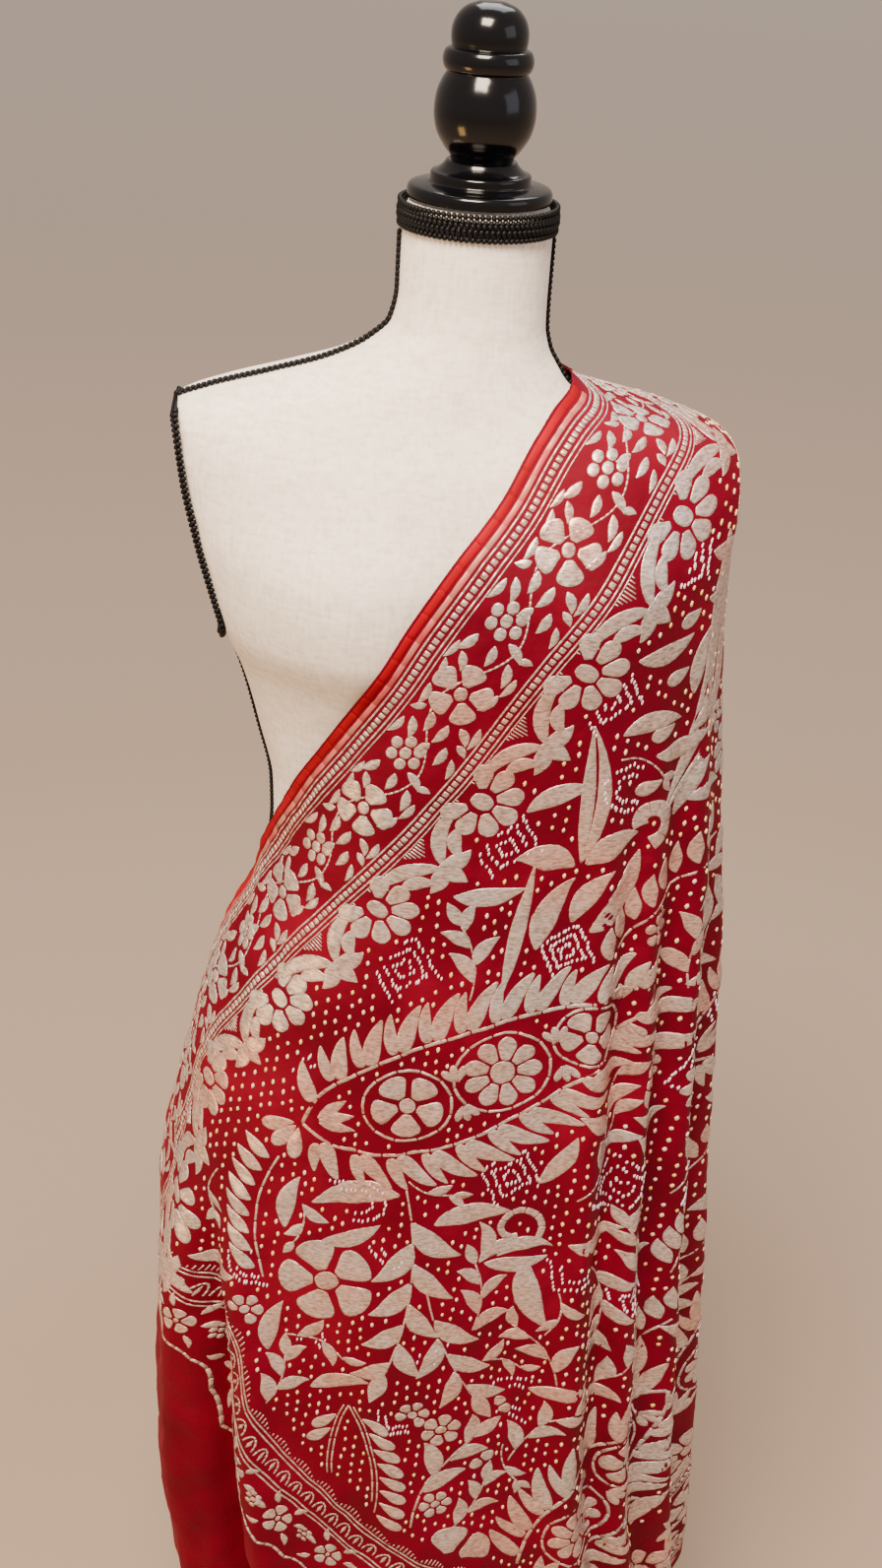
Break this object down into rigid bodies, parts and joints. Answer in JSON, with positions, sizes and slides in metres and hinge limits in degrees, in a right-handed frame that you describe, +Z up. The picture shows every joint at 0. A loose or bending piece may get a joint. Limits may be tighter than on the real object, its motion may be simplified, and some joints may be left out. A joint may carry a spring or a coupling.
{
  "type": "bandhani cloth on dress form",
  "caption": "Crimson bandhani cloth with a woven zari border, draped slantwise over one shoulder of a linen dress form on a pole and a round base.",
  "frame": {"origin": "middle of the base's flat underside, on the pole's axis", "axes": "+Z up along the pole, -Y the way the form faces, +X toward the shoulder that carries the cloth"},
  "size_m": [0.545, 0.38, 1.8643],
  "materials": {
    "painted_metal_black": "satin",
    "wood_black": "glossy lacquer",
    "linen": "slubby plain weave",
    "braid_black": "plaited",
    "cloth_red": "crepe with woven zari and resist-dyed dots"
  },
  "bodies": {
    "root": {"base": "painted_metal_black", "pole": "painted_metal_black", "torso": "linen", "neck_cap": "wood_black", "finial": "wood_black", "neck_braid": "braid_black", "shoulder_braid_left": "braid_black", "shoulder_braid_right": "braid_black", "armhole_braid_left": "braid_black", "armhole_braid_right": "braid_black", "side_braid_left": "braid_black", "side_braid_right": "braid_black", "cloth": "cloth_red"}
  },
  "joints": []
}
